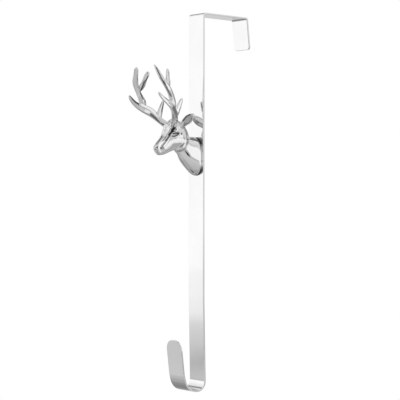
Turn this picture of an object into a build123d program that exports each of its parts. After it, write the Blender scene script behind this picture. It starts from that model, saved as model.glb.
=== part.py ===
"""An over-the-door wreath hanger: one bent metal band with a cast stag head screwed to its front.

X runs across the band, Y from the room (-) to the back of the door (+), and Z up. The origin is the
middle of the underside of the bridge, where the hanger sits on the top of the door. Millimetres.
"""

import os
from math import cos, radians, sin

from build123d import *

# The band, bent from one strip
BAND_WIDTH = 25.0
BAND_THICKNESS = 1.5
DOOR_GAP = 50.8
BRIDGE_SLOPE = 2.2
TOP_BEND_INSIDE = 1.3
FLAP_LENGTH = 29.0
FLAP_SPLAY = 6.0
FLAP_CORNER = 3.5

# The wreath hook at the band's lower end
RISER_LEVEL = -270.0
RISER_LEAN = 1.2
LEAN_BEND_RADIUS = 400.0
LEAN_LENGTH = 75.6
REAR_BEND_INSIDE = 8.4
REAR_BEND_TURN = 100.0
HOOK_FLOOR = 2.0
FRONT_BEND_INSIDE = 11.7
FRONT_BEND_TURN = 62.0
ARM_ROOT = 3.0
ARM_BEND_INSIDE = 26.0
ARM_BEND_TURN = 12.5
ARM_LENGTH = 32.5
TIP_CORNER = 10.0

# The two countersunk screws that hold the head
SCREW_SIZE = 3.0
SCREW_HEAD = 5.5
SCREW_REACH = 6.5
SCREW_PITCH = 17.0
SCREW_SINK = 0.05
SCREW_CLEARANCE = 0.15
THREAD_CLEARANCE = 0.05
BLIND_DEPTH = 8.0
SOCKET_ACROSS = 2.0
SOCKET_DEPTH = 1.2

# The head: each of its points is (sideways, forward of the band's front face, above the foot's middle)
HEAD_LEVEL = -137.0
HEAD_TURN = 8.2
TURN_PIVOT = 4.0
FOOT_TOP = 19.0
FOOT_BOTTOM = -18.5
FOOT_OVERHANG = 0.3
SKULL_BACK = (17.0, 23.0)
SKULL_DIP = 32.4
NOSE_ROUND = 2.0
POLL_ROUND = 3.4
EYE_SPLAY = 9.0
NOSTRIL_SPLAY = 8.0
HORN_FLAT = 0.45
HORN_EASE = 0.2

FACE = -(DOOR_GAP / 2 + BAND_THICKNESS)
BACK_FACE = -DOOR_GAP / 2
COUNTERSINK = (SCREW_HEAD - SCREW_SIZE) / 2


def band_line():
    """The band's middle line in side view, from the flap's end over the door to the hook's tip."""
    middle = BAND_THICKNESS / 2
    slope = radians(BRIDGE_SLOPE)
    bend = TOP_BEND_INSIDE + middle
    start = Vector(middle * sin(slope), middle * cos(slope))
    front_run = (DOOR_GAP / 2 + middle - bend * (1 + sin(slope)) + start.X) / cos(slope)
    back_run = (DOOR_GAP / 2 + middle - bend - start.X) / cos(slope)

    bridge_back = Line(start, start + Vector(cos(slope), -sin(slope)) * back_run)
    back_bend = JernArc(bridge_back @ 1, bridge_back % 1, bend, BRIDGE_SLOPE + FLAP_SPLAY - 90)
    flap = PolarLine(back_bend @ 1, FLAP_LENGTH, direction=back_bend % 1)

    bridge_front = Line(start, start + Vector(-cos(slope), sin(slope)) * front_run)
    front_bend = JernArc(bridge_front @ 1, bridge_front % 1, bend, 90 + BRIDGE_SLOPE)
    top = front_bend @ 1
    riser = Line(top, (top.X, RISER_LEVEL))
    lean = JernArc(riser @ 1, riser % 1, LEAN_BEND_RADIUS, RISER_LEAN)
    lower = PolarLine(lean @ 1, LEAN_LENGTH, direction=lean % 1)
    rear = JernArc(lower @ 1, lower % 1, REAR_BEND_INSIDE + middle, -REAR_BEND_TURN)
    floor = PolarLine(rear @ 1, HOOK_FLOOR, direction=rear % 1)
    front = JernArc(floor @ 1, floor % 1, FRONT_BEND_INSIDE + middle, -FRONT_BEND_TURN)
    root = PolarLine(front @ 1, ARM_ROOT, direction=front % 1)
    nudge = JernArc(root @ 1, root % 1, ARM_BEND_INSIDE + middle, -ARM_BEND_TURN)
    arm = PolarLine(nudge @ 1, ARM_LENGTH, direction=nudge % 1)
    behind = [flap, back_bend, bridge_back]
    before = [bridge_front, front_bend, riser, lean, lower, rear, floor, front, root, nudge, arm]
    return Plane.YZ * Wire(behind + before)


def screw_places():
    """The two screws' places on the band's back face, upper one first."""
    return [(0, BACK_FACE, HEAD_LEVEL + side * SCREW_PITCH / 2) for side in (1, -1)]


def into_head(depth):
    """A plane at a depth in front of the band's back face, facing the room."""
    return Plane(origin=(0, -depth, 0), x_dir=(1, 0, 0), z_dir=(0, -1, 0))


def band_hole():
    """The cutter for one countersunk hole, at the origin of the band's back face."""
    radius = SCREW_SIZE / 2 + SCREW_CLEARANCE
    wide = SCREW_HEAD / 2 + SCREW_CLEARANCE
    shank = into_head(0) * Cylinder(radius, 4 * BAND_THICKNESS)
    sink = into_head(0) * extrude(Circle(wide), wide - radius, taper=45)
    return shank + sink


def round_corners(band, end, radius):
    """The band with the two corners at one end of its line rounded in plan."""
    face = band.faces().sort_by_distance(end)[0]
    corners = face.edges().filter_by(lambda edge: edge.length < 2 * BAND_THICKNESS)
    return fillet(corners, radius)


def strap():
    line = band_line()
    start = Plane(origin=line @ 0, z_dir=line % 0, x_dir=(1, 0, 0))
    band = sweep(start * Rectangle(BAND_WIDTH, BAND_THICKNESS), path=line)
    band = round_corners(band, line @ 0, FLAP_CORNER)
    band = round_corners(band, line @ 1, TIP_CORNER)
    for place in screw_places():
        band -= Pos(*place) * band_hole()
    return band


def screw():
    """A countersunk screw with its head just below the origin, reaching into the head."""
    top = into_head(SCREW_SINK)
    cone = top * extrude(Circle(SCREW_HEAD / 2), COUNTERSINK, taper=45)
    shank = top * extrude(Circle(SCREW_SIZE / 2), BAND_THICKNESS + SCREW_REACH)
    socket = top * extrude(RegularPolygon(SOCKET_ACROSS / 2, 6, major_radius=False), SOCKET_DEPTH)
    return cone + shank - socket


def at(side, forward, up):
    """A head place as a point of the object."""
    return Vector(side, FACE - forward, HEAD_LEVEL + up)


def ring(*right):
    """A closed section, the same on both sides, through points from the top middle to the bottom middle."""
    left = [(-x, y) for x, y in reversed(right[1:-1])]
    return make_face(Spline(*right, *left, periodic=True))


def egg(top, bottom, half_width, shoulder, cheek):
    """An egg-shaped section: its height, half width, and how full it is above and below the middle."""
    middle = (top + bottom) / 2
    half = (top - bottom) / 2
    upper = (half_width * shoulder, middle + half * 0.72)
    widest = (half_width, middle + half * 0.05)
    lower = (half_width * cheek, middle - half * 0.70)
    return ring((0, top), upper, widest, lower, (0, bottom))


def skull():
    """The head from its back to its nose, in sections square to the line through it."""
    dip = radians(SKULL_DIP)
    line = Axis(at(0, *SKULL_BACK), (0, -cos(dip), -sin(dip)))
    stations = [
        # along, middle of the top, crest, side, cheek, jaw, bottom
        (-5.6, 9.5, (3.0, 8.3), (4.8, 5.9), (5.2, 3.1), (3.7, -2.0), -4.0),
        (-2.5, 13.8, (4.5, 11.7), (6.9, 7.6), (7.4, 3.0), (6.2, -6.2), -9.2),
        (2.5, 16.9, (5.6, 14.6), (8.3, 9.5), (9.0, 3.0), (7.3, -8.2), -11.8),
        (8.0, 15.0, (6.2, 14.0), (8.8, 10.2), (9.0, 2.2), (6.8, -8.4), -12.0),
        (11.5, 12.0, (5.6, 12.5), (8.2, 9.2), (8.4, 1.8), (5.9, -7.9), -11.2),
        (14.2, 9.2, (4.7, 10.4), (7.1, 7.6), (7.7, 1.4), (5.0, -7.4), -10.5),
        (17.4, 7.1, (4.1, 8.2), (6.2, 5.6), (6.9, 1.0), (4.2, -6.7), -9.7),
        (21.0, 5.8, (3.8, 6.8), (5.4, 3.9), (6.1, -0.2), (3.8, -6.6), -9.1),
        (25.0, 4.8, (3.5, 5.6), (4.9, 2.3), (5.3, -1.2), (3.4, -6.3), -8.5),
        (29.0, 3.8, (3.2, 4.4), (4.7, 1.6), (5.0, -1.7), (3.5, -5.6), -7.3),
        (32.2, 2.9, (2.6, 2.2), (4.0, 0.3), (4.3, -1.6), (3.1, -4.2), -5.2),
    ]
    sections = []
    for step, top, crest, side, cheek, jaw, bottom in stations:
        origin = line.position + line.direction * step
        section = ring((0, top), crest, side, cheek, jaw, (0, bottom))
        sections.append(Plane(origin=origin, x_dir=(1, 0, 0), z_dir=line.direction) * section)
    head = loft(sections)
    head = fillet(head.faces().sort_by(line)[-1].edges(), NOSE_ROUND)
    flats = head.faces().filter_by(GeomType.PLANE)
    return fillet(flats.sort_by(line)[0].edges(), POLL_ROUND)


def neck():
    """The neck, from its egg-shaped foot on the band to the inside of the head."""
    foot = BAND_WIDTH / 2 + FOOT_OVERHANG
    stations = [
        # forward and up of the top and bottom, half width, upper and lower fullness, share turned
        ((0.0, FOOT_TOP), (0.0, FOOT_BOTTOM), foot, 0.62, 0.78, 0.0),
        ((1.4, FOOT_TOP + 0.3), (1.6, FOOT_BOTTOM + 0.2), foot - 0.1, 0.62, 0.78, 0.0),
        ((6.0, 19.8), (6.5, -15.6), 11.6, 0.64, 0.76, 0.6),
        ((10.5, 20.0), (13.0, -9.2), 10.0, 0.66, 0.74, 1.0),
        ((14.0, 25.0), (18.5, -1.6), 7.9, 0.70, 0.72, 1.0),
        ((20.0, 30.0), (23.5, 5.0), 5.8, 0.72, 0.70, 1.0),
    ]
    sections = []
    for top, bottom, half_width, shoulder, cheek, turned in stations:
        high = at(0, *top)
        low = at(0, *bottom)
        square = Vector(1, 0, 0).cross(high - low)
        plane = Plane(origin=(high + low) / 2, x_dir=(1, 0, 0), z_dir=square)
        half = (high - low).length / 2
        section = plane * egg(half, -half, half_width, shoulder, cheek)
        sections.append(section.rotate(turn_axis(), -HEAD_TURN * turned))
    neck_solid = loft(sections)
    for place in screw_places():
        radius = SCREW_SIZE / 2 + THREAD_CLEARANCE
        hole = into_head(0) * extrude(Circle(radius), BAND_THICKNESS + BLIND_DEPTH)
        neck_solid -= Pos(*place) * hole
    return neck_solid


def turn_axis():
    """The upright line that the head is turned about."""
    return Axis(at(0, TURN_PIVOT, 0), (0, 0, 1))


def facets(half_width, half_thickness):
    """A horn's section: a flat plate with both edges bevelled to a ridge, its corners eased."""
    flat = half_width * HORN_FLAT
    corners = [(half_width, 0), (flat, half_thickness), (-flat, half_thickness)]
    corners += [(-x, -y) for x, y in corners]
    return fillet(make_face(Polyline(*corners, close=True)).vertices(), half_thickness * HORN_EASE)


def blade(stations, flat_side, section=Ellipse):
    """A flattened horn or ear: each station is a place, a half width and a half thickness."""
    places = [at(*place) for place, _, _ in stations]
    facing = Vector(flat_side[0], -flat_side[1], flat_side[2])
    sections = []
    for index, (_, half_width, half_thickness) in enumerate(stations):
        before = places[max(index - 1, 0)]
        after = places[min(index + 1, len(places) - 1)]
        ahead = (after - before).normalized()
        across = facing.cross(ahead).normalized()
        plane = Plane(origin=places[index], x_dir=across, z_dir=ahead)
        sections.append(plane * section(half_width, half_thickness))
    return loft(sections)


def antler():
    """The antler on the +X side: a beam to the front tine, a brow tine, and a fork above."""
    plate = (0.6, -0.75, 0.25)
    fork_plate = (0.81, -0.59, 0.25)
    beam = blade(
        [
            ((6.2, 26.4, 27.4), 3.4, 3.1),
            ((12.4, 30.0, 33.0), 3.7, 3.1),
            ((19.6, 32.9, 38.2), 4.0, 2.9),
            ((27.9, 38.4, 45.0), 5.0, 2.7),
            ((33.7, 45.4, 49.4), 3.9, 2.2),
            ((34.4, 52.5, 54.6), 2.6, 1.6),
            ((33.3, 55.9, 58.8), 1.5, 1.0),
            ((32.9, 56.7, 60.0), 0.6, 0.5),
        ],
        plate,
        facets,
    )
    long_tine = blade(
        [
            ((28.6, 38.9, 45.8), 1.6, 1.2),
            ((32.8, 41.2, 51.0), 3.2, 2.5),
            ((33.8, 44.4, 59.0), 3.1, 2.5),
            ((32.8, 49.2, 68.0), 2.9, 2.3),
            ((26.8, 52.8, 77.5), 2.9, 1.7),
            ((22.4, 54.1, 83.6), 2.5, 1.1),
            ((20.8, 54.6, 85.8), 1.7, 0.6),
            ((20.2, 54.8, 86.7), 0.7, 0.35),
        ],
        fork_plate,
        facets,
    )
    short_tine = blade(
        [
            ((33.4, 44.6, 59.0), 0.9, 0.8),
            ((31.4, 45.8, 65.4), 2.0, 1.9),
            ((26.8, 43.9, 73.0), 2.7, 1.9),
            ((23.5, 42.3, 79.6), 2.6, 1.3),
            ((22.0, 41.6, 82.1), 1.8, 0.9),
            ((21.5, 41.4, 83.0), 0.8, 0.4),
        ],
        fork_plate,
        facets,
    )
    brow_tine = blade(
        [
            ((17.4, 33.2, 35.4), 2.4, 1.4),
            ((18.7, 31.4, 40.4), 3.4, 2.6),
            ((19.6, 28.8, 47.4), 2.5, 2.3),
            ((20.3, 26.2, 54.0), 1.3, 1.3),
            ((20.5, 25.6, 55.5), 0.6, 0.6),
        ],
        plate,
        facets,
    )
    return beam + long_tine + short_tine + brow_tine


def ear():
    """The ear on the +X side: a leaf swept back, hollowed on its forward side."""
    opening = (0.68, 0.69, -0.26)
    root = Vector(7.0, 20.6, 29.0)
    reach = Vector(20.0, 12.6, 40.8) - root
    inset = Vector(*opening) * 1.5
    leaf = [(0.0, 2.6, 2.4), (0.3, 3.7, 2.6), (0.6, 4.2, 2.3), (0.85, 2.7, 1.5), (1.0, 0.7, 0.6)]
    hollow = [(0.22, 1.4, 1.0), (0.4, 2.7, 2.0), (0.62, 3.1, 1.9), (0.82, 1.9, 1.2), (0.93, 0.5, 0.4)]
    outer = blade([(root + reach * t, w, h) for t, w, h in leaf], opening)
    inner = blade([(root + reach * t + inset, w, h) for t, w, h in hollow], opening)
    return outer - inner


def on_skull(step, rise, side):
    """A place on the skull: along its line, above the line, and sideways."""
    dip = radians(SKULL_DIP)
    forward = SKULL_BACK[0] + step * cos(dip) + rise * sin(dip)
    return side, forward, SKULL_BACK[1] - step * sin(dip) + rise * cos(dip)


def eye_socket():
    """The cutter for the +X eye socket: a long hollow between the brow and the upper lid."""
    hollow = scale(Sphere(1), by=(2.1, 5.6, 2.7))
    return Pos(*at(*on_skull(10.2, 7.7, 10.1))) * Rot(SKULL_DIP + 12, 0, EYE_SPLAY) * hollow


def eyeball():
    """The +X eye, long and low between its lids."""
    ball = scale(Sphere(1), by=(2.2, 3.6, 2.3))
    return Pos(*at(*on_skull(9.6, 3.7, 6.9))) * Rot(SKULL_DIP - 17, 0, EYE_SPLAY) * ball


def lid(middle, size):
    """An eyelid from the eye's back corner to its front corner, through a middle place."""
    back = (5.0, 2.3, 8.5)
    front = (14.2, 5.0, 7.3)
    places = [back]
    for share, lift in ((0.25, 0.75), (0.5, 1.0), (0.75, 0.75)):
        chord = [b + (f - b) * share for b, f in zip(back, front)]
        half_way = [(b + f) / 2 for b, f in zip(back, front)]
        places.append([c + (m - h) * lift for c, m, h in zip(chord, middle, half_way)])
    places.append(front)
    widths = (0.35, size, size, size, 0.35)
    return blade([(on_skull(*place), width, width) for place, width in zip(places, widths)], (1, 0, 0))


def eyelids():
    upper = lid((9.4, 6.6, 8.9), 0.75)
    lower = lid((10.0, 1.2, 8.6), 0.7)
    return upper + lower


def brow():
    """The ridge over the +X eye, from the horn's root to the bridge of the nose."""
    crest = [
        # along, up, sideways, radius
        (4.5, 11.3, 7.4, 1.5),
        (8.0, 11.0, 7.6, 1.6),
        (11.5, 9.6, 7.0, 1.3),
        (15.0, 7.9, 5.9, 1.1),
        (19.0, 5.2, 4.2, 0.8),
    ]
    stations = [(on_skull(step, rise, side), size, size) for step, rise, side, size in crest]
    return blade(stations, (1, 0, 0))


def nostril():
    """The cutter for the +X nostril."""
    hollow = scale(Sphere(1), by=(1.0, 1.9, 0.8))
    return Pos(*at(*on_skull(26.8, -0.8, 5.2))) * Rot(SKULL_DIP - 56, 0, NOSTRIL_SPLAY) * hollow


def both_sides(shape):
    return shape + mirror(shape, about=Plane.YZ)


def stag_head():
    head = skull() + both_sides(brow())
    head -= both_sides(eye_socket())
    head += both_sides(eyeball() + eyelids())
    head -= both_sides(nostril())
    head += both_sides(ear())
    head += both_sides(antler())
    return head.rotate(turn_axis(), -HEAD_TURN) + neck()


def main():
    os.makedirs("parts", exist_ok=True)
    screws = [Pos(*place) * screw() for place in screw_places()]
    export_step(strap(), "parts/strap.step")
    export_step(stag_head(), "parts/stag_head.step")
    export_step(Compound(children=screws), "parts/screws.step")


main()
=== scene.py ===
"""Looks of an over-the-door wreath hanger: a bent, polished band with a plated stag head on its front."""

from math import cos, pi, radians, sin

import bmesh
import bpy
import numpy as np
from mathutils import Matrix, Vector


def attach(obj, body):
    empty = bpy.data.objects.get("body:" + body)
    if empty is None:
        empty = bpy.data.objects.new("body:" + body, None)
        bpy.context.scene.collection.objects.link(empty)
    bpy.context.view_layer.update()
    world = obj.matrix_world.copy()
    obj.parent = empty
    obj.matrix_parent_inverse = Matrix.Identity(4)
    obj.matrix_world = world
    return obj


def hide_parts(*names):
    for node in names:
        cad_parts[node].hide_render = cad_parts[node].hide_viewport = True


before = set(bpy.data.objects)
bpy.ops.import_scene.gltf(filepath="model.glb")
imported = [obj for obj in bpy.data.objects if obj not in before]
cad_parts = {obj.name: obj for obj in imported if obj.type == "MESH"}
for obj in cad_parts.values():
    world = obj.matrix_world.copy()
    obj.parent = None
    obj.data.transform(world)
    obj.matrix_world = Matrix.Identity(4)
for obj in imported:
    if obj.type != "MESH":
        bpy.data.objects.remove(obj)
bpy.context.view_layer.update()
scene = bpy.context.scene
scene.view_settings.view_transform = "Standard"

# Camera: level with the stag's chin, 55 degrees round from the front towards the band's +X edge,
# far enough away for the long lens to flatten the hanger as a product picture does.
CAMERA_ROUND = radians(54.905)
CAMERA_PITCH = radians(-0.338)
CAMERA_ROLL = radians(0.078)
CAMERA_AWAY = 1.667228
CAMERA_SHIFT = -0.018078
CAMERA_LEVEL = -0.178897
LENS = 152.8795
SENSOR = 36.0

look = Vector(
    (
        -sin(CAMERA_ROUND) * cos(CAMERA_PITCH),
        cos(CAMERA_ROUND) * cos(CAMERA_PITCH),
        sin(CAMERA_PITCH),
    )
)
level_right = Vector((cos(CAMERA_ROUND), sin(CAMERA_ROUND), 0))
level_up = level_right.cross(look)
camera_right = level_right * cos(CAMERA_ROLL) + level_up * sin(CAMERA_ROLL)
camera_up = level_up * cos(CAMERA_ROLL) - level_right * sin(CAMERA_ROLL)
camera_place = Vector((0, 0, CAMERA_LEVEL)) + camera_right * CAMERA_SHIFT - look * CAMERA_AWAY

camera_data = bpy.data.cameras.new("camera")
camera_data.lens = LENS
camera_data.sensor_width = SENSOR
camera = bpy.data.objects.new("camera", camera_data)
camera.matrix_world = Matrix.Translation(camera_place) @ Matrix(
    (camera_right, camera_up, -look)
).transposed().to_4x4()
scene.collection.objects.link(camera)
scene.camera = camera

# Studio: a white room, a pale floor under the hanging object, soft lamps, and the grey and black
# cards that a polished thing is photographed between, which only reflections see.
WHITE = (1.0, 1.0, 1.0, 1.0)
ROOM_FILL = 0.85
HEAD_PLACE = (0.0, -0.055, -0.12)
PANEL_AWAY = 7.0
PANEL_COLUMNS = 24
PANEL_ROWS_PER_TONE = 4
FLOOR_CENTRE = (0, -0.03, -2.03)
FLOOR_ACROSS = 0.7
FLOOR_SIDES = 96
FLOOR_COLOUR = (0.88, 0.88, 0.88, 1.0)
FLOOR_ROUGHNESS = 0.9
LAMP_ACROSS = 0.9

world = bpy.data.worlds.new("white_room")
world.use_nodes = True
scene.world = world
sky = world.node_tree
sky.nodes.clear()
sky_out = sky.nodes.new("ShaderNodeOutputWorld")
seen_white = sky.nodes.new("ShaderNodeBackground")
seen_white.inputs["Color"].default_value = WHITE
seen_white.inputs["Strength"].default_value = 1.0
fill = sky.nodes.new("ShaderNodeBackground")
fill.inputs["Color"].default_value = WHITE
fill.inputs["Strength"].default_value = ROOM_FILL
sky_mix = sky.nodes.new("ShaderNodeMixShader")
sky_path = sky.nodes.new("ShaderNodeLightPath")
camera_or_glossy = sky.nodes.new("ShaderNodeMath")
camera_or_glossy.operation = "MAXIMUM"
or_transmission = sky.nodes.new("ShaderNodeMath")
or_transmission.operation = "MAXIMUM"
sky.links.new(sky_path.outputs["Is Camera Ray"], camera_or_glossy.inputs[0])
sky.links.new(sky_path.outputs["Is Glossy Ray"], camera_or_glossy.inputs[1])
sky.links.new(camera_or_glossy.outputs[0], or_transmission.inputs[0])
sky.links.new(sky_path.outputs["Is Transmission Ray"], or_transmission.inputs[1])
sky.links.new(or_transmission.outputs[0], sky_mix.inputs["Fac"])
sky.links.new(fill.outputs[0], sky_mix.inputs[1])
sky.links.new(seen_white.outputs[0], sky_mix.inputs[2])
sky.links.new(sky_mix.outputs[0], sky_out.inputs["Surface"])


def panel(name, around, tones, away=PANEL_AWAY):
    """A curved studio panel far off, seen only in reflections. It spans a range of directions round the
    object, in degrees from the front towards +X, and its tones run up through (elevation, tone)."""
    rows = []
    for (low, low_tone), (high, high_tone) in zip(tones, tones[1:]):
        for k in range(PANEL_ROWS_PER_TONE):
            rise = low + (high - low) * k / PANEL_ROWS_PER_TONE
            rows.append((rise, low_tone + (high_tone - low_tone) * k / PANEL_ROWS_PER_TONE))
    rows.append(tones[-1])
    places = []
    shades = []
    for rise, tone in rows:
        for k in range(PANEL_COLUMNS + 1):
            turn = radians(around[0] + (around[1] - around[0]) * k / PANEL_COLUMNS)
            flat = away * cos(radians(rise))
            level = HEAD_PLACE[2] + away * sin(radians(rise))
            places.append((flat * sin(turn), -flat * cos(turn), level))
            shades += [tone, tone, tone, 1.0]
    faces = []
    next_row = PANEL_COLUMNS + 1
    for row in range(len(rows) - 1):
        for k in range(PANEL_COLUMNS):
            corner = row * next_row + k
            faces.append((corner, corner + 1, corner + next_row + 1, corner + next_row))
    mesh = bpy.data.meshes.new(name)
    mesh.from_pydata(places, [], faces)
    mesh.color_attributes.new("tone", "FLOAT_COLOR", "POINT").data.foreach_set("color", shades)
    paint = bpy.data.materials.new(name)
    paint.use_nodes = True
    tree = paint.node_tree
    tree.nodes.clear()
    shade = tree.nodes.new("ShaderNodeAttribute")
    shade.attribute_name = "tone"
    glow = tree.nodes.new("ShaderNodeEmission")
    end = tree.nodes.new("ShaderNodeOutputMaterial")
    tree.links.new(shade.outputs["Color"], glow.inputs["Color"])
    tree.links.new(glow.outputs[0], end.inputs["Surface"])
    mesh.materials.append(paint)
    made = bpy.data.objects.new(name, mesh)
    scene.collection.objects.link(made)
    made.visible_camera = False
    made.visible_shadow = False
    made.visible_diffuse = False


panel(
    "walls",
    (-180, 180),
    [(-80, 0.40), (-45, 0.42), (-36, 0.50), (-20, 0.53), (-4, 0.52), (12, 0.53), (35, 0.62), (89, 0.60)],
    away=8.0,
)
panel("white_box_right", (62, 112), [(-10, 1.0), (34, 1.0)])
panel("white_box_high", (62, 142), [(44, 0.72), (70, 0.75)])
panel("white_box_low", (90, 122), [(-37, 0.86), (-12, 1.0)])
panel("white_box_low_right", (122, 145), [(-40, 0.60), (-12, 0.64)])
panel("grey_right", (112, 150), [(-12, 0.42), (-4, 0.44), (-2, 0.68), (14, 0.74), (42, 0.72)])
panel("grey_far_left", (-142, -112), [(-11, 0.62), (-2, 0.64)])
panel("bright_high_front", (14, 62), [(36, 0.85), (62, 0.92)])
panel("dark_top", (-42, 14), [(45, 0.16), (64, 0.18)])
panel("floor_card", (-180, 180), [(-89, 0.36), (-72, 0.40)], away=1.9)
panel("white_box_left", (-78, -46), [(-3.7, 1.0), (9, 1.0), (22, 0.88), (33, 0.78)])
panel(
    "table_left",
    (-78, -46),
    [
        (-19, 0.59),
        (-12, 0.57),
        (-9.6, 0.55),
        (-8.9, 0.46),
        (-8.1, 0.62),
        (-7.3, 0.69),
        (-6.9, 0.88),
        (-3.7, 0.93),
    ],
)
panel(
    "shade_low_left",
    (-116, -50),
    [(-44, 0.36), (-38, 0.22), (-34, 0.27), (-29, 0.32), (-26, 0.45), (-19, 0.54)],
)
panel("dark_line_left", (-80, -68), [(-30, 0.10), (-24, 0.12)], away=6.9)
panel("dark_card_left", (-46, -18), [(-24, 0.13), (5, 0.13)])
panel("dark_high_left", (-112, -78), [(33, 0.28), (44, 0.26)])
panel("bright_high_left", (-40, -5), [(19, 0.90), (38, 0.90)])
panel("white_strip", (-18, -5), [(-21, 0.85), (5, 0.85)])
panel("dark_front_high", (-4, 61), [(8, 0.13), (28, 0.15)])
panel("pale_low_front", (-4, 88), [(-72, 0.50), (-45, 0.55), (-21, 0.62)])
panel("dark_small_front", (42, 55), [(-18, 0.03), (-6, 0.05)])
panel("dark_small_low", (-82, -50), [(-70, 0.10), (-56, 0.12)])
panel("dark_behind", (150, 215), [(-50, 0.20), (-8, 0.18), (8, 0.34), (40, 0.42)])

floor_mesh = bpy.data.meshes.new("floor")
floor_shape = bmesh.new()
bmesh.ops.create_circle(
    floor_shape,
    cap_ends=True,
    segments=FLOOR_SIDES,
    radius=FLOOR_ACROSS / 2,
    matrix=Matrix.Translation(FLOOR_CENTRE),
)
floor_shape.to_mesh(floor_mesh)
floor_shape.free()
floor = bpy.data.objects.new("floor", floor_mesh)
scene.collection.objects.link(floor)
floor_paint = bpy.data.materials.new("pale_floor")
floor_paint.use_nodes = True
floor_look = floor_paint.node_tree.nodes["Principled BSDF"]
floor_look.inputs["Base Color"].default_value = FLOOR_COLOUR
floor_look.inputs["Roughness"].default_value = FLOOR_ROUGHNESS
floor_mesh.materials.append(floor_paint)


def soft_lamp(name, place, power):
    """A square soft box that points at the head, with its power in watts. Reflections don't see it."""
    data = bpy.data.lights.new(name, "AREA")
    data.shape = "SQUARE"
    data.size = LAMP_ACROSS
    data.energy = power
    made = bpy.data.objects.new(name, data)
    made.location = place
    made.rotation_euler = (Vector(HEAD_PLACE) - Vector(place)).to_track_quat("-Z", "Y").to_euler()
    made.visible_glossy = False
    scene.collection.objects.link(made)


soft_lamp("key_lamp", (1.6, -0.6, 1.2), power=14.0)
soft_lamp("fill_lamp", (-1.4, 0.9, 1.3), power=8.0)

# Band: one strip of bright plated steel 25 mm wide, sheared to length with rounded corners, its
# edges eased by tumbling, and bent cold over the door, at the riser's foot and into the hook.
MM = 0.001
BAND_WIDTH = 25.0
BAND_THICKNESS = 1.5
DOOR_GAP = 50.8
BRIDGE_SLOPE = 2.2
TOP_BEND_INSIDE = 1.3
FLAP_LENGTH = 29.0
FLAP_SPLAY = 6.0
FLAP_CORNER = 3.5
RISER_LEVEL = -270.0
RISER_LEAN = 1.2
LEAN_BEND_RADIUS = 400.0
LEAN_LENGTH = 75.6
REAR_BEND_INSIDE = 8.4
REAR_BEND_TURN = 100.0
HOOK_FLOOR = 2.0
FRONT_BEND_INSIDE = 11.7
FRONT_BEND_TURN = 62.0
ARM_ROOT = 3.0
ARM_BEND_INSIDE = 26.0
ARM_BEND_TURN = 12.5
ARM_LENGTH = 32.5
TIP_CORNER = 10.0
EDGE_EASE = 0.38
EASE_STEPS = 5
RUN_STEP = 1.6
TURN_STEP = 3.0
FLAP_CORNER_STEPS = 8
TIP_CORNER_STEPS = 14
CORNER_GAP = 0.4
ROW_POINTS = 21
SHARP_ANGLE = radians(35)


def walk(start, heading, legs):
    """Stations along straight legs and arcs in side view: (along Y, up Z), from a start and heading."""
    place = np.array(start, float)
    angle = radians(heading)
    stations = [place.copy()]
    for length, radius, turn in legs:
        if radius is None:
            count = max(1, round(length / RUN_STEP))
            for _ in range(count):
                place = place + np.array([cos(angle), sin(angle)]) * length / count
                stations.append(place.copy())
            continue
        count = max(2, round(abs(turn) / TURN_STEP), round(radians(abs(turn)) * radius / RUN_STEP))
        step = radians(turn) / count
        for _ in range(count):
            angle += step / 2
            place = place + np.array([cos(angle), sin(angle)]) * 2 * radius * abs(sin(step / 2))
            angle += step / 2
            stations.append(place.copy())
    return np.array(stations)


middle = BAND_THICKNESS / 2
top_bend = TOP_BEND_INSIDE + middle
slope = radians(BRIDGE_SLOPE)
bridge_start = (middle * sin(slope), middle * cos(slope))
front_run = (DOOR_GAP / 2 + middle - top_bend * (1 + sin(slope)) + bridge_start[0]) / cos(slope)
back_run = (DOOR_GAP / 2 + middle - top_bend - bridge_start[0]) / cos(slope)
behind = walk(
    bridge_start,
    -BRIDGE_SLOPE,
    [(back_run, None, 0), (0, top_bend, BRIDGE_SLOPE + FLAP_SPLAY - 90), (FLAP_LENGTH, None, 0)],
)
over_front = [(front_run, None, 0), (0, top_bend, 90 + BRIDGE_SLOPE)]
riser_top = walk(bridge_start, 180 - BRIDGE_SLOPE, over_front)[-1]
before = walk(
    bridge_start,
    180 - BRIDGE_SLOPE,
    over_front
    + [
        (riser_top[1] - RISER_LEVEL, None, 0),
        (0, LEAN_BEND_RADIUS, RISER_LEAN),
        (LEAN_LENGTH, None, 0),
        (0, REAR_BEND_INSIDE + middle, -REAR_BEND_TURN),
        (HOOK_FLOOR, None, 0),
        (0, FRONT_BEND_INSIDE + middle, -FRONT_BEND_TURN),
        (ARM_ROOT, None, 0),
        (0, ARM_BEND_INSIDE + middle, -ARM_BEND_TURN),
        (ARM_LENGTH, None, 0),
    ],
)
band_line = np.vstack([behind[::-1], before[1:]])

path_data = bpy.data.curves.new("band_path", "CURVE")
path_data.dimensions = "3D"
path = path_data.splines.new("POLY")
path.points.add(len(band_line) - 1)
for point, (y, z) in zip(path.points, band_line):
    point.co = (0, y * MM, z * MM, 1)
path_object = bpy.data.objects.new("band_path", path_data)
scene.collection.objects.link(path_object)
path_object.hide_render = True

run = np.concatenate([[0], np.cumsum(np.linalg.norm(np.diff(band_line, axis=0), axis=1))])


def blank_rows():
    """The flat strip's rows: how far along, the corner's radius and angle where a row is in one, and
    the end it belongs to: -1 for the flap, 1 for the hook's tip, and 0 between them."""
    total = run[-1]
    rows = []
    for k in range(FLAP_CORNER_STEPS + 1):
        rows.append((0.0, FLAP_CORNER, pi / 2 * (1 - k / FLAP_CORNER_STEPS), -1))
    for station in run:
        if FLAP_CORNER + CORNER_GAP < station < total - TIP_CORNER - CORNER_GAP:
            rows.append((station, 0.0, 0.0, 0))
    for k in range(TIP_CORNER_STEPS + 1):
        rows.append((total, TIP_CORNER, pi / 2 * k / TIP_CORNER_STEPS, 1))
    return rows


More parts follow.
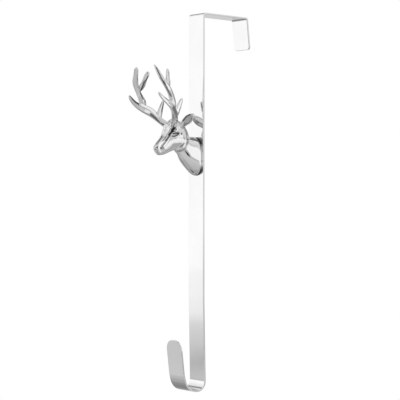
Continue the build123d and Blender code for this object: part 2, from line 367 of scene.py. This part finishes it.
def outline(row, inset):
    """Where a row of the strip meets its outline, for an outline pulled in by inset: along, half width."""
    place, corner, angle, end = row
    if end == 0:
        return place, BAND_WIDTH / 2 - inset
    along = place - end * corner + end * (corner - inset) * sin(angle)
    return along, BAND_WIDTH / 2 - corner + (corner - inset) * cos(angle)


def flat_blank():
    """The strip before bending, with eased edges: X across, Y along, Z through the sheet. Each row has
    ROW_POINTS points from edge to edge, numbered from column 0 to last_column."""
    rows = blank_rows()
    last_row = len(rows) - 1
    last_column = ROW_POINTS - 1
    points = []
    faces = []

    def sheet(level):
        """One broad face of the strip, and the number of its first point."""
        first = len(points)
        for row in rows:
            along, half = outline(row, EDGE_EASE)
            points.extend((half * (2 * i / last_column - 1), along, level) for i in range(ROW_POINTS))
        for r in range(last_row):
            for i in range(last_column):
                corner = first + r * ROW_POINTS + i
                quad = (corner, corner + 1, corner + ROW_POINTS + 1, corner + ROW_POINTS)
                faces.append(quad if level > 0 else quad[::-1])
        return first

    upper = sheet(middle)
    lower = sheet(-middle)
    # all the way round the strip's outline, as (row, column)
    loop = [(0, i) for i in range(last_column)]
    loop += [(r, last_column) for r in range(last_row)]
    loop += [(last_row, i) for i in range(last_column, 0, -1)]
    loop += [(r, 0) for r in range(last_row, 0, -1)]
    # the eased edge, as rings from the upper face down to the lower one
    steps = [(k / EASE_STEPS * pi / 2, 1) for k in range(1, EASE_STEPS + 1)]
    steps += [(pi / 2 - k / EASE_STEPS * pi / 2, -1) for k in range(EASE_STEPS)]
    rings = [[upper + r * ROW_POINTS + i for r, i in loop]]
    for angle, side in steps:
        inset = EDGE_EASE * (1 - sin(angle))
        level = side * (middle - EDGE_EASE * (1 - cos(angle)))
        ring = []
        for r, i in loop:
            along, half = outline(rows[r], inset)
            ring.append(len(points))
            points.append((half * (2 * i / last_column - 1), along, level))
        rings.append(ring)
    rings.append([lower + r * ROW_POINTS + i for r, i in loop])
    for one, two in zip(rings, rings[1:]):
        for k in range(len(loop)):
            after = (k + 1) % len(loop)
            faces.append((one[k], two[k], two[after], one[after]))
    mesh = bpy.data.meshes.new("strap")
    mesh.from_pydata([Vector(p) * MM for p in points], [], faces)
    return mesh


strap_piece = bpy.data.objects.new("polished_band", flat_blank())
scene.collection.objects.link(strap_piece)

# the strip is bent along the path: its Y becomes the way along, and its Z the way out from the path
ACROSS_BAND = (1, 0, 0)

bend = bpy.data.node_groups.new("Bend Along Path", "GeometryNodeTree")
bend.interface.new_socket("Blank", in_out="INPUT", socket_type="NodeSocketGeometry")
bend.interface.new_socket("Path", in_out="INPUT", socket_type="NodeSocketObject")
bend.interface.new_socket("Finish", in_out="INPUT", socket_type="NodeSocketMaterial")
bend.interface.new_socket("Band", in_out="OUTPUT", socket_type="NodeSocketGeometry")
bend_in = bend.nodes.new("NodeGroupInput")
bend_out = bend.nodes.new("NodeGroupOutput")
path_info = bend.nodes.new("GeometryNodeObjectInfo")
here = bend.nodes.new("GeometryNodeInputPosition")
parts_of = bend.nodes.new("ShaderNodeSeparateXYZ")
sample = bend.nodes.new("GeometryNodeSampleCurve")
sample.mode = "LENGTH"
outward = bend.nodes.new("ShaderNodeVectorMath")
outward.operation = "CROSS_PRODUCT"
outward.inputs[0].default_value = ACROSS_BAND
lift = bend.nodes.new("ShaderNodeVectorMath")
lift.operation = "SCALE"
sideways = bend.nodes.new("ShaderNodeCombineXYZ")
with_lift = bend.nodes.new("ShaderNodeVectorMath")
with_lift.operation = "ADD"
with_side = bend.nodes.new("ShaderNodeVectorMath")
with_side.operation = "ADD"
move = bend.nodes.new("GeometryNodeSetPosition")
realize = bend.nodes.new("GeometryNodeRealizeInstances")
finish_node = bend.nodes.new("GeometryNodeSetMaterial")
bend.links.new(bend_in.outputs["Path"], path_info.inputs["Object"])
bend.links.new(path_info.outputs["Geometry"], sample.inputs["Curves"])
bend.links.new(here.outputs[0], parts_of.inputs[0])
bend.links.new(parts_of.outputs["Y"], sample.inputs["Length"])
bend.links.new(sample.outputs["Tangent"], outward.inputs[1])
bend.links.new(outward.outputs["Vector"], lift.inputs[0])
bend.links.new(parts_of.outputs["Z"], lift.inputs["Scale"])
bend.links.new(parts_of.outputs["X"], sideways.inputs["X"])
bend.links.new(sample.outputs["Position"], with_lift.inputs[0])
bend.links.new(lift.outputs[0], with_lift.inputs[1])
bend.links.new(with_lift.outputs[0], with_side.inputs[0])
bend.links.new(sideways.outputs[0], with_side.inputs[1])
bend.links.new(bend_in.outputs["Blank"], move.inputs["Geometry"])
bend.links.new(with_side.outputs[0], move.inputs["Position"])
bend.links.new(move.outputs[0], realize.inputs[0])
bend.links.new(realize.outputs[0], finish_node.inputs["Geometry"])
bend.links.new(bend_in.outputs["Finish"], finish_node.inputs["Material"])
bend.links.new(finish_node.outputs[0], bend_out.inputs["Band"])

# the band's finish: a near mirror with faint cloudy marks, and a grain drawn out along the riser
CLOUD_DETAIL = 4.0
CLOUD_LOW = 0.3
CLOUD_HIGH = 0.7
GRAIN_DETAIL = 6.0
MARKS_FAINT = 0.12
MARKS_STRONG = 0.42
RECESS_HAZE = 0.25
# the near-black tint that painted shade takes the metal towards in its hollows and creases
PAINTED_SHADE_TINT = 0.03
RIPPLE_HEIGHT = 0.0004


def metal_group():
    """Polish and handling marks on bright metal: a tint, a haze for the roughness, and a faint ripple, with
    painted shade darkening the tint and raising the haze where the shade mask input is high.
    """
    group = bpy.data.node_groups.new("Bright Metal Marks", "ShaderNodeTree")
    for name in ("Cloud Scale", "Grain Scale", "Clear", "Hazed", "Ripple", "Darkest", "Lightest", "Painted Shade Mask"):
        group.interface.new_socket(name, in_out="INPUT", socket_type="NodeSocketFloat")
    group.interface.new_socket("Stretch", in_out="INPUT", socket_type="NodeSocketVector")
    group.interface.new_socket("Tint", in_out="OUTPUT", socket_type="NodeSocketColor")
    group.interface.new_socket("Haze", in_out="OUTPUT", socket_type="NodeSocketFloat")
    group.interface.new_socket("Normal", in_out="OUTPUT", socket_type="NodeSocketVector")
    nodes = group.nodes
    link = group.links.new
    into = nodes.new("NodeGroupInput")
    out = nodes.new("NodeGroupOutput")
    where = nodes.new("ShaderNodeTexCoord")
    stretched = nodes.new("ShaderNodeVectorMath")
    stretched.operation = "MULTIPLY"
    link(where.outputs["Object"], stretched.inputs[0])
    link(into.outputs["Stretch"], stretched.inputs[1])
    cloud = nodes.new("ShaderNodeTexNoise")
    cloud.inputs["Detail"].default_value = CLOUD_DETAIL
    link(where.outputs["Object"], cloud.inputs["Vector"])
    link(into.outputs["Cloud Scale"], cloud.inputs["Scale"])
    grain = nodes.new("ShaderNodeTexNoise")
    grain.inputs["Detail"].default_value = GRAIN_DETAIL
    link(stretched.outputs[0], grain.inputs["Vector"])
    link(into.outputs["Grain Scale"], grain.inputs["Scale"])
    both = nodes.new("ShaderNodeMath")
    both.operation = "MULTIPLY"
    link(cloud.outputs["Fac"], both.inputs[0])
    link(grain.outputs["Fac"], both.inputs[1])
    haze = nodes.new("ShaderNodeMapRange")
    haze.inputs["From Min"].default_value = MARKS_FAINT
    haze.inputs["From Max"].default_value = MARKS_STRONG
    link(both.outputs[0], haze.inputs["Value"])
    link(into.outputs["Clear"], haze.inputs["To Min"])
    link(into.outputs["Hazed"], haze.inputs["To Max"])
    dulled = nodes.new("ShaderNodeMath")
    dulled.operation = "MULTIPLY_ADD"
    link(into.outputs["Painted Shade Mask"], dulled.inputs[0])
    dulled.inputs[1].default_value = RECESS_HAZE
    link(haze.outputs["Result"], dulled.inputs[2])
    link(dulled.outputs[0], out.inputs["Haze"])
    shade = nodes.new("ShaderNodeMapRange")
    shade.inputs["From Min"].default_value = CLOUD_LOW
    shade.inputs["From Max"].default_value = CLOUD_HIGH
    link(cloud.outputs["Fac"], shade.inputs["Value"])
    link(into.outputs["Darkest"], shade.inputs["To Min"])
    link(into.outputs["Lightest"], shade.inputs["To Max"])
    # painted shade: the tint goes towards near black by the shade mask
    darkened = nodes.new("ShaderNodeMapRange")
    link(into.outputs["Painted Shade Mask"], darkened.inputs["Value"])
    link(shade.outputs["Result"], darkened.inputs["To Min"])
    darkened.inputs["To Max"].default_value = PAINTED_SHADE_TINT
    tint = nodes.new("ShaderNodeCombineColor")
    for channel in ("Red", "Green", "Blue"):
        link(darkened.outputs["Result"], tint.inputs[channel])
    link(tint.outputs[0], out.inputs["Tint"])
    ripple = nodes.new("ShaderNodeBump")
    ripple.inputs["Distance"].default_value = RIPPLE_HEIGHT
    link(into.outputs["Ripple"], ripple.inputs["Strength"])
    link(cloud.outputs["Fac"], ripple.inputs["Height"])
    link(ripple.outputs["Normal"], out.inputs["Normal"])
    return group


bright_metal = metal_group()


def bright_finish(name, settings, stretch=(1, 1, 1), with_painted_shade=False):
    """A bright metal finish: a mirror dulled by the marks that the group draws, with the grain drawn
    out by stretch, and darkened by painted shade and dulled where the piece's own shade attribute says so."""
    paint = bpy.data.materials.new(name)
    paint.use_nodes = True
    tree = paint.node_tree
    shader = tree.nodes["Principled BSDF"]
    shader.inputs["Metallic"].default_value = 1.0
    marks = tree.nodes.new("ShaderNodeGroup")
    marks.node_tree = bright_metal
    for key, value in settings.items():
        marks.inputs[key].default_value = value
    marks.inputs["Stretch"].default_value = stretch
    tree.links.new(marks.outputs["Tint"], shader.inputs["Base Color"])
    tree.links.new(marks.outputs["Haze"], shader.inputs["Roughness"])
    tree.links.new(marks.outputs["Normal"], shader.inputs["Normal"])
    if with_painted_shade:
        # the piece's own painted shade mask, from its attribute
        deep = tree.nodes.new("ShaderNodeAttribute")
        deep.attribute_name = "painted_shade_mask"
        tree.links.new(deep.outputs["Fac"], marks.inputs["Painted Shade Mask"])
    return paint


band_finish = bright_finish(
    "band_polished_steel",
    {"Cloud Scale": 30.0, "Grain Scale": 1400.0, "Clear": 0.03, "Hazed": 0.08, "Ripple": 0.02,
     "Darkest": 0.93, "Lightest": 0.98},
    stretch=(1.0, 1.0, 0.06),
)

bender = strap_piece.modifiers.new("bend", "NODES")
bender.node_group = bend
bend_values = {"Path": path_object, "Finish": band_finish}
for item in bend.interface.items_tree:
    if item.in_out == "INPUT" and item.name in bend_values:
        bender[item.identifier] = bend_values[item.name]


def bake_modifiers(piece):
    """Turns the piece with its modifiers into plain mesh, which the frame's calls then see."""
    bpy.context.view_layer.update()
    evaluated = piece.evaluated_get(bpy.context.evaluated_depsgraph_get())
    plain = bpy.data.meshes.new_from_object(evaluated)
    piece.modifiers.clear()
    piece.data = plain


bake_modifiers(strap_piece)

# two countersunk holes behind the head let its screws through
SCREW_SIZE = 3.0
SCREW_HEAD = 5.5
SCREW_PITCH = 17.0
SCREW_CLEARANCE = 0.15
HOLE_SIDES = 64
CUTTER_PAST = 0.5
HEAD_LEVEL = -137.0
BACK_FACE = -DOOR_GAP / 2


def screw_hole(level):
    """The countersunk hole for one screw, as a closed cutter through the band from its back face, and
    CUTTER_PAST beyond both faces."""
    neck_radius = SCREW_SIZE / 2 + SCREW_CLEARANCE
    mouth = SCREW_HEAD / 2 + SCREW_CLEARANCE
    rings = [
        (mouth + CUTTER_PAST, -CUTTER_PAST),
        (neck_radius, mouth - neck_radius),
        (neck_radius, BAND_THICKNESS + CUTTER_PAST),
    ]
    shape = bmesh.new()
    loops = []
    for radius, deep in rings:
        loop = []
        for k in range(HOLE_SIDES):
            turn = 2 * pi * k / HOLE_SIDES
            rise = level + radius * sin(turn)
            loop.append(shape.verts.new((radius * cos(turn) * MM, (BACK_FACE - deep) * MM, rise * MM)))
        loops.append(loop)
    for one, two in zip(loops, loops[1:]):
        for k in range(HOLE_SIDES):
            after = (k + 1) % HOLE_SIDES
            shape.faces.new((one[k], one[after], two[after], two[k]))
    shape.faces.new(loops[0][::-1])
    shape.faces.new(loops[-1])
    bmesh.ops.recalc_face_normals(shape, faces=shape.faces)
    mesh = bpy.data.meshes.new("screw_hole")
    shape.to_mesh(mesh)
    shape.free()
    made = bpy.data.objects.new("screw_hole", mesh)
    scene.collection.objects.link(made)
    return made


for side in (1, -1):
    cutter = screw_hole(HEAD_LEVEL + side * SCREW_PITCH / 2)
    drill = strap_piece.modifiers.new("drill", "BOOLEAN")
    drill.operation = "DIFFERENCE"
    drill.solver = "EXACT"
    drill.object = cutter
    bake_modifiers(strap_piece)
    bpy.data.objects.remove(cutter)
bpy.data.objects.remove(path_object)
strap_piece.data.polygons.foreach_set("use_smooth", [True] * len(strap_piece.data.polygons))
strap_piece.data.set_sharp_from_angle(angle=SHARP_ANGLE)
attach(strap_piece, "root")
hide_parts("strap")

# Stag head: one solid casting in plated metal, its creases and hollows cut with round tools, and
# bright on its high places, with painted shade darkening its hollows and creases. It is screwed to the band
# from behind, through its egg-shaped foot.
HEAD_GRAIN = 0.38
MERGE_NEAR = 0.01
HEAD_TURN = 8.2
TURN_PIVOT = 4.0
FRONT_FACE = -(DOOR_GAP / 2 + BAND_THICKNESS)
SKULL_BACK = (17.0, 23.0)
SKULL_DIP = 32.4
HORN_ROOT = (28.0, 33.0)
NECK_FRONT = (18.0, 12.0)
FOOT_EDGE = (1.0, 0.4)
FOOT_TOP = 19.0
FOOT_BOTTOM = -18.5

casting_shape = bmesh.new()
casting_shape.from_mesh(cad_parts["stag_head"].data)
bmesh.ops.remove_doubles(casting_shape, verts=casting_shape.verts, dist=MERGE_NEAR * MM)
casting_mesh = bpy.data.meshes.new("plated_stag_head")
casting_shape.to_mesh(casting_mesh)
casting_shape.free()
stag_piece = bpy.data.objects.new("plated_stag_head", casting_mesh)
scene.collection.objects.link(stag_piece)
regular = stag_piece.modifiers.new("even_mesh", "REMESH")
regular.mode = "VOXEL"
regular.voxel_size = HEAD_GRAIN * MM
bake_modifiers(stag_piece)


def points_of(mesh):
    """The mesh's points, in millimetres, one a row."""
    flat = np.empty(len(mesh.vertices) * 3)
    mesh.vertices.foreach_get("co", flat)
    return flat.reshape(-1, 3) / MM


def put_points(mesh, points):
    """Moves the mesh's points to these places in millimetres."""
    mesh.vertices.foreach_set("co", (points * MM).astype(np.float32).ravel())
    mesh.update()


def normals_of(mesh):
    """The outward direction at each point of the mesh."""
    flat = np.empty(len(mesh.vertices) * 3, np.float32)
    mesh.vertex_normals.foreach_get("vector", flat)
    return flat.reshape(-1, 3).astype(float)


def edges_of(mesh):
    """The two points of each edge of the mesh, by number."""
    flat = np.empty(len(mesh.edges) * 2, np.int32)
    mesh.edges.foreach_get("vertices", flat)
    return flat.reshape(-1, 2)


def relax(values, edges, weight, rounds):
    """Pulls each point's values towards the mean of its neighbours', by its weight, for some rounds."""
    count = len(values)
    one, two = edges.T
    degree = np.maximum(np.bincount(one, minlength=count) + np.bincount(two, minlength=count), 1)
    for _ in range(rounds):
        for axis in range(values.shape[1]):
            column = values[:, axis]
            total = np.bincount(one, column[two], count) + np.bincount(two, column[one], count)
            values[:, axis] = column + weight * (total / degree - column)
    return values


def head_places(points):
    """Points of the object as places on the head: along the skull's line, above it, aside from the
    head's middle, and the head's own forward and up."""
    back = radians(HEAD_TURN)
    pivot = FRONT_FACE - TURN_PIVOT
    aside = points[:, 0] * cos(back) - (points[:, 1] - pivot) * sin(back)
    forward = FRONT_FACE - (points[:, 0] * sin(back) + (points[:, 1] - pivot) * cos(back) + pivot)
    up = points[:, 2] - HEAD_LEVEL
    dip = radians(SKULL_DIP)
    ahead = forward - SKULL_BACK[0]
    higher = up - SKULL_BACK[1]
    along = ahead * cos(dip) - higher * sin(dip)
    above = ahead * sin(dip) + higher * cos(dip)
    return along, above, aside, forward, up


def band_of(value, start, full):
    """0 before start, 1 from full on and smooth between them, whichever of the two is higher."""
    share = np.clip((value - start) / (full - start), 0, 1)
    return share * share * (3 - 2 * share)


# the seams between the casting's forms are worked smooth: a little on the antlers, most on the neck
RELAX_WEIGHT = 0.5
RELAX_HORN = 0.35
SEAM_ROUNDS = 4
SKULL_ROUNDS = 8
NECK_ROUNDS = 60
points = points_of(stag_piece.data)
edges = edges_of(stag_piece.data)
along, above, aside, forward, up = head_places(points)
is_horn = band_of(up, *HORN_ROOT)
is_neck = band_of(forward, *NECK_FRONT) * (1 - is_horn)
on_foot = band_of(forward, *FOOT_EDGE)
skull_weight = RELAX_WEIGHT * (1 - is_horn) * (1 - on_foot)
points = relax(points, edges, np.maximum(skull_weight, RELAX_HORN * is_horn), SEAM_ROUNDS)
points = relax(points, edges, skull_weight, SKULL_ROUNDS)
points = relax(points, edges, RELAX_WEIGHT * is_neck * (1 - on_foot), NECK_ROUNDS)
put_points(stag_piece.data, points)

# the creases and hollows are cut as strokes, in the places that head_places gives, and most strokes also
# paint shade into them
STROKE_STEP = 0.4
STROKE_REACH = 2.5
PAINTED_SHADE_SPREAD = 1.6
cut = np.zeros(len(points))
painted_shade = np.zeros(len(points))


def press(places, radius, depth, shade_amount=0.0):
    """A stroke of a round tool on both sides of the head, through places given along, above, aside.
    A positive depth cuts in and a negative one raises a ridge; the last argument is how dark the stroke's
    painted shade is."""
    steps = []
    for one, two in zip(places, places[1:]):
        one = np.array(one, float)
        two = np.array(two, float)
        count = max(2, int(np.linalg.norm(two - one) / (radius * STROKE_STEP)))
        steps += [one + (two - one) * k / count for k in range(count)]
    steps.append(np.array(places[-1], float))
    line = np.array(steps)
    spot = np.stack([along, above, np.abs(aside)], 1)
    reach = radius * STROKE_REACH
    near = (spot > line.min(0) - reach).all(1) & (spot < line.max(0) + reach).all(1)
    chosen = np.nonzero(near)[0]
    away = np.full(len(chosen), np.inf)
    for step in line:
        away = np.minimum(away, ((spot[chosen] - step) ** 2).sum(1))
    worked = np.exp(-away / radius**2)
    cut[chosen] += depth * worked
    # painted shade along the stroke
    painted_shade[chosen] = np.maximum(painted_shade[chosen], shade_amount * np.clip(worked * PAINTED_SHADE_SPREAD, 0, 1))


# the hollow before the eye, the line from it to the nostril, and the valley of the nose
press([(7.4, 9.2, 8.7), (9.5, 8.8, 8.3)], 1.7, 0.5, 1.0)
press([(9.5, 8.7, 8.2), (12.0, 7.8, 8.0), (14.5, 6.6, 7.3)], 1.0, 0.6, 1.0)
press([(14.5, 6.4, 7.3), (17.0, 5.0, 6.6), (20.0, 3.6, 5.9)], 0.7, 0.6, 0.8)
press([(20.0, 3.6, 5.9), (23.0, 2.4, 5.5), (26.4, 0.6, 5.0)], 0.7, 0.5, 0.45)
press([(12.5, 10.6, 0.9), (17.0, 8.4, 0.9), (22.0, 6.0, 0.9), (27.0, 4.6, 0.9)], 0.9, 0.5, 0.55)
# the nostril and the mouth
press([(26.2, -1.6, 5.2), (27.8, -0.1, 4.7)], 0.8, 0.5, 0.9)
mouth_line = [(33.3, 1.0, 0), (31.6, 0.2, 3.6), (29.5, -1.0, 4.7), (27.5, -3.2, 5.0), (25.3, -4.2, 4.7)]
press(mouth_line, 0.5, 0.4, 0.25)
# the lids' creases
press([(5.0, 3.2, 9.1), (8.0, 6.4, 8.9), (12.0, 7.0, 8.3)], 0.5, 0.4, 0.7)
press([(5.8, 2.6, 9.2), (8.2, 4.9, 9.0), (11.2, 5.6, 8.6)], 0.75, 0.35, 1.0)
press([(5.8, 2.6, 9.2), (8.1, 2.2, 9.1), (10.8, 2.6, 8.9), (13.0, 3.9, 8.3)], 0.6, 0.35, 0.95)
# no cut here, only painted shade along the lids
press([(7.4, 3.4, 9.2), (10.0, 3.9, 9.0)], 0.8, 0.0, 0.6)
# the ear's rim, and the small hollows at its root and behind the eye
press([(-3.4, 11.1, 11.3), (-5.3, 12.1, 12.4), (-7.7, 13.9, 15.7), (-10.4, 14.1, 17.7)], 0.9, 0.3, 0.9)
press([(-1.9, 6.9, 11.9), (-1.5, 6.9, 11.9)], 0.8, 0.3, 0.7)
press([(3.2, 0.9, 9.1), (3.6, 0.9, 9.1)], 0.8, 0.3, 0.9)
# the shade inside the ear
press([(-4.5, 8.7, 11.1), (-6.8, 10.0, 12.9), (-9.5, 11.1, 16.0)], 2.0, 0.0, 0.35)
# the jaw's corner, and the crease behind it
press([(2.6, -7.7, 7.7), (5.5, -9.3, 7.8), (8.9, -10.6, 6.7), (12.7, -11.0, 4.1)], 1.8, -0.9)
press([(0.6, -9.0, 7.9), (4.3, -11.4, 8.2), (8.6, -13.4, 7.0), (13.0, -13.4, 4.0)], 0.8, 0.3, 0.5)
# the lines cut along the long tine and the front tine
press([(-0.5, 71.4, 24.4), (1.6, 66.8, 28.2), (3.4, 62.4, 31.7), (4.5, 58.3, 33.9)], 0.55, 0.2, 0.9)
tine_root = [(4.5, 58.3, 33.9), (5.2, 54.3, 35.0), (5.5, 50.7, 35.4), (5.7, 46.9, 35.8), (5.7, 42.5, 35.9)]
press(tine_root, 0.6, 0.25, 0.9)
press([(12.9, 51.2, 32.2), (12.6, 47.1, 32.3), (11.4, 42.9, 32.5), (10.1, 40.4, 31.9)], 0.8, 0.2, 1.0)
# the deep line behind the fork
press([(-9.1, 59.6, 22.4), (-6.3, 57.4, 24.0), (-3.3, 55.9, 24.9), (-0.1, 53.3, 26.6)], 0.7, 0.25, 1.0)
below_fork = [(-0.1, 53.3, 26.6), (1.4, 51.5, 28.3), (2.4, 48.0, 31.4), (3.1, 45.3, 31.4), (3.6, 42.2, 30.7)]
press(below_fork, 0.7, 0.25, 1.0)
points = points - normals_of(stag_piece.data) * cut[:, None]

# the foot's edge is rounded under where it meets the band, and a painted shadow darkens and dulls it
# there, most at its top and bottom
TUCK_HEIGHT = 1.5
TUCK_DEPTH = 0.5
FOOT_RIM = (6.0, 9.0)
RIM_SHADOW_ENDS = (7.0, 14.0)
RIM_SHADOW_TOP = (8.0, 15.0)
RIM_SHADOW_FADE = (0.3, 1.0)
RIM_SHADOW_SIDES = 0.2
RIM_SHADOW_AT_ENDS = 0.75
HIGHER_TOP = 1.2
foot_middle = np.array([0.0, 0.0, HEAD_LEVEL + (FOOT_TOP + FOOT_BOTTOM) / 2])
from_middle = (points - foot_middle) * (1, 0, 1)
out_from_middle = np.linalg.norm(from_middle, axis=1)
outward_way = from_middle / np.maximum(out_from_middle, 1)[:, None]
on_rim = band_of(out_from_middle, *FOOT_RIM)
under = (1 - band_of(forward, 0.0, TUCK_HEIGHT)) * on_rim
points = points - outward_way * (TUCK_DEPTH * under**2)[:, None]
# painted shadow along the foot's rim, darkest at its top and bottom
ends = band_of(np.abs(from_middle[:, 2]), *RIM_SHADOW_ENDS)
rim_shadow_height = 1.0 + HIGHER_TOP * band_of(from_middle[:, 2], *RIM_SHADOW_TOP)
rim_shadow = (RIM_SHADOW_SIDES + RIM_SHADOW_AT_ENDS * ends) * (1 - band_of(forward / rim_shadow_height, *RIM_SHADOW_FADE))
painted_shade = np.maximum(painted_shade, rim_shadow * on_rim)
put_points(stag_piece.data, points)

# the plate is darkened by painted shade and dulled in every hollow, which is where the surface lies under
# its own smoothed shape
SMOOTHED_ROUNDS = 60
HOLLOW_DEPTHS = (0.18, 0.8)
HOLLOW_PAINTED_SHADE = 0.6
smoothed = relax(points.copy(), edges, RELAX_WEIGHT, SMOOTHED_ROUNDS)
hollow = ((smoothed - points) * normals_of(stag_piece.data)).sum(1)
# painted shade: the stroke and rim marks, and more in every hollow
painted_shade_mask = np.maximum(painted_shade, HOLLOW_PAINTED_SHADE * band_of(hollow, *HOLLOW_DEPTHS))
painted_shade_mask = relax(painted_shade_mask[:, None].copy(), edges, RELAX_WEIGHT, 1)[:, 0]
mark = stag_piece.data.attributes.new("painted_shade_mask", "FLOAT", "POINT")
mark.data.foreach_set("value", painted_shade_mask.astype(np.float32))
stag_piece.data.polygons.foreach_set("use_smooth", [True] * len(stag_piece.data.polygons))

head_finish = bright_finish(
    "head_chrome",
    {"Cloud Scale": 60.0, "Grain Scale": 1200.0, "Clear": 0.05, "Hazed": 0.11, "Ripple": 0.03,
     "Darkest": 0.86, "Lightest": 0.94},
    with_painted_shade=True,
)
stag_piece.data.materials.clear()
stag_piece.data.materials.append(head_finish)
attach(stag_piece, "root")
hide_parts("stag_head")

# Screws: two countersunk machine screws of plated steel with hexagon sockets. They go in from the
# door's side, through the band into blind holes in the head's foot, and lie flush.
screw_finish = bright_finish(
    "screw_steel",
    {"Cloud Scale": 300.0, "Grain Scale": 3000.0, "Clear": 0.16, "Hazed": 0.32, "Ripple": 0.05,
     "Darkest": 0.55, "Lightest": 0.7},
)
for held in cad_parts["screws"].material_slots:
    held.material = screw_finish
